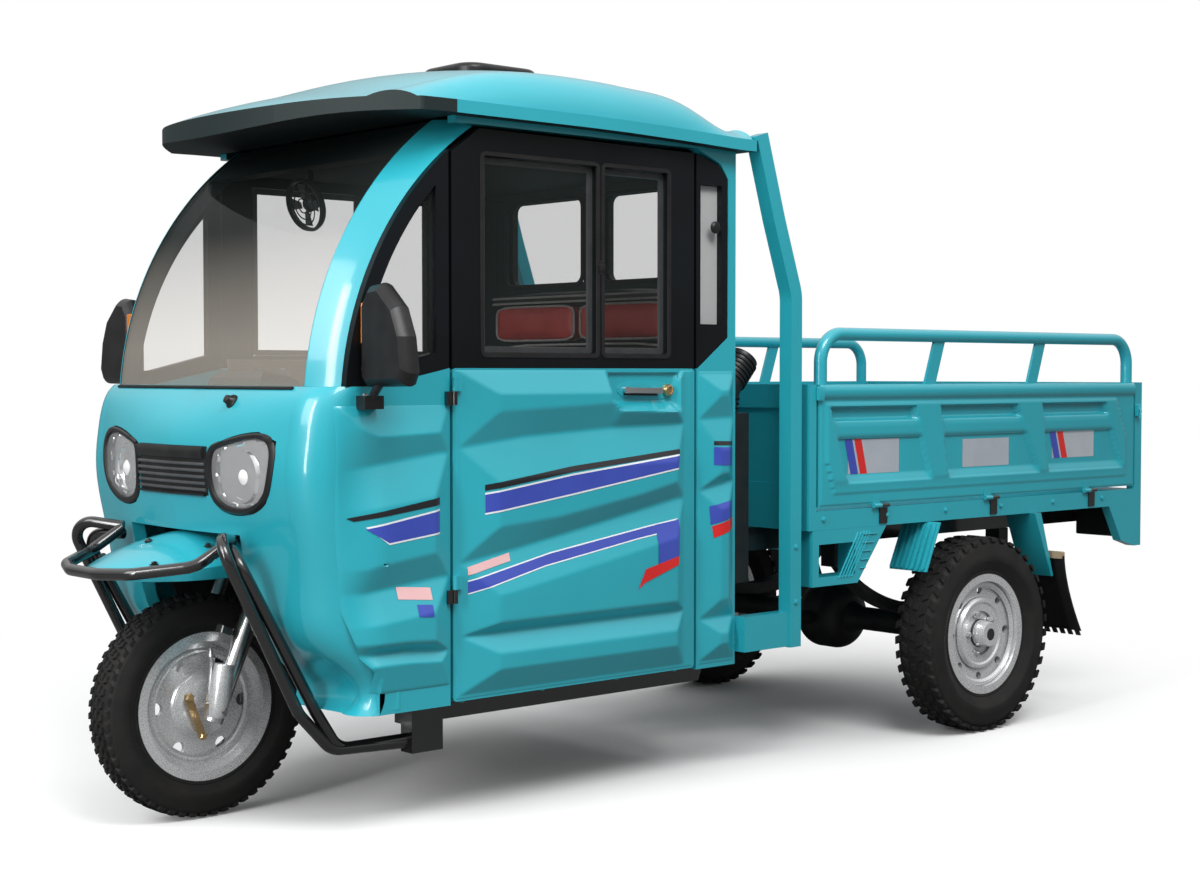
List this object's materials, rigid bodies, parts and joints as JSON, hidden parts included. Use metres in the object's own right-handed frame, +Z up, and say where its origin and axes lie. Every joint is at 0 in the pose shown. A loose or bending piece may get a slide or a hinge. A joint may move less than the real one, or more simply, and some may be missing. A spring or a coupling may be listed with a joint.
{
  "type": "cab cargo tricycle",
  "caption": "Three-wheeled auto rickshaw in its cargo form: closed cab with doors and rear bench, steered front wheel, drop-side load bed.",
  "frame": {"origin": "on the ground under the middle of the vehicle's bounding box", "axes": "+X forward, +Y to the driver's left, +Z up"},
  "size_m": [3.264, 1.332, 1.764],
  "materials": {
    "body_paint": "glossy turquoise paint",
    "black_frame": "satin black paint",
    "black_steel": "gloss black paint",
    "floor_steel": "satin dark grey paint",
    "dark_steel": "painted dark grey metal",
    "cast_metal": "cast aluminium",
    "bright_metal": "satin bright metal",
    "alloy_wheel": "silver painted alloy",
    "steel_wheel": "silver painted steel",
    "tyre_rubber": "matt black rubber",
    "black_rubber": "matt black rubber",
    "black_plastic": "matt black plastic",
    "tinted_glass": "clear glass with a light tint",
    "lamp_glass": "clear lamp lens",
    "seat_cover": "dark red synthetic leather"
  },
  "bodies": {
    "front_wheel": {"front_tyre": "tyre_rubber", "front_rim": "alloy_wheel"},
    "rear_wheel_left": {"rear_tyre_left": "tyre_rubber", "rear_rim_left": "steel_wheel"},
    "rear_wheel_right": {"rear_tyre_right": "tyre_rubber", "rear_rim_right": "steel_wheel"},
    "fork": {"fork_yoke": "bright_metal", "fork_legs": "bright_metal", "handlebar": "black_steel", "handlebar_grips": "black_rubber"},
    "door_left": {"door_panel_left": "body_paint", "door_window_frame_left": "black_frame", "door_glass_left": "tinted_glass"},
    "door_right": {"door_panel_right": "body_paint", "door_window_frame_right": "black_frame", "door_glass_right": "tinted_glass"},
    "drop_side_left": {"drop_side_left": "body_paint"},
    "drop_side_right": {"drop_side_right": "body_paint"},
    "tailgate": {"tailgate": "body_paint"},
    "cab_and_chassis": {"head_frame": "black_steel", "front_fascia": "body_paint", "headlamps": "lamp_glass", "grille": "black_plastic", "wheel_well": "black_plastic", "cab_floor": "floor_steel", "windscreen_frame": "body_paint", "windscreen": "tinted_glass", "front_quarter_panels": "body_paint", "quarter_window_frames": "black_frame", "quarter_glass": "tinted_glass", "side_frames": "body_paint", "rear_wall": "body_paint", "rear_glass": "tinted_glass", "roof": "body_paint", "roof_vent": "black_plastic", "panel_hinges": "black_steel", "crash_bar": "black_steel", "front_mudguard": "body_paint", "bed_floor": "body_paint", "bed_headboard": "body_paint", "guard_posts": "body_paint", "chassis_frame": "black_steel", "engine_block": "cast_metal", "drive_shaft": "dark_steel", "rear_axle": "dark_steel", "leaf_springs": "dark_steel", "bed_brackets": "body_paint", "mud_flaps": "black_rubber", "tail_lamps": "lamp_glass", "air_intake": "black_plastic", "seat_base": "floor_steel", "driver_seat": "seat_cover", "rear_bench": "seat_cover", "dashboard": "black_plastic", "mirrors": "black_plastic", "exhaust": "dark_steel"}
  },
  "joints": [
    {"name": "steering", "type": "hinge", "parent": "cab_and_chassis", "child": "fork", "pos_m": [1.30526, 0, 0.23598], "axis": [-0.3907, 0, 0.9205], "range_deg": [-38, 38]},
    {"name": "front_wheel_spin", "type": "hinge", "parent": "fork", "child": "front_wheel", "pos_m": [1.343, 0, 0.252], "axis": [0, 1, 0], "continuous": true},
    {"name": "rear_wheel_left_spin", "type": "hinge", "parent": "cab_and_chassis", "child": "rear_wheel_left", "pos_m": [-0.807, 0.525, 0.272], "axis": [0, 1, 0], "continuous": true},
    {"name": "rear_wheel_right_spin", "type": "hinge", "parent": "cab_and_chassis", "child": "rear_wheel_right", "pos_m": [-0.807, -0.525, 0.272], "axis": [0, 1, 0], "continuous": true},
    {"name": "door_left_hinge", "type": "hinge", "parent": "cab_and_chassis", "child": "door_left", "pos_m": [1, 0.511, 0.6], "axis": [0, 0, -1], "range_deg": [0, 65]},
    {"name": "door_right_hinge", "type": "hinge", "parent": "cab_and_chassis", "child": "door_right", "pos_m": [1, -0.511, 0.6], "axis": [0, 0, 1], "range_deg": [0, 65]},
    {"name": "drop_side_left_hinge", "type": "hinge", "parent": "cab_and_chassis", "child": "drop_side_left", "pos_m": [-0.857, 0.55, 0.651], "axis": [-1, 0, 0], "range_deg": [0, 150]},
    {"name": "drop_side_right_hinge", "type": "hinge", "parent": "cab_and_chassis", "child": "drop_side_right", "pos_m": [-0.857, -0.55, 0.651], "axis": [1, 0, 0], "range_deg": [0, 150]},
    {"name": "tailgate_hinge", "type": "hinge", "parent": "cab_and_chassis", "child": "tailgate", "pos_m": [-1.626, 0, 0.651], "axis": [0, -1, 0], "range_deg": [0, 175]}
  ]
}
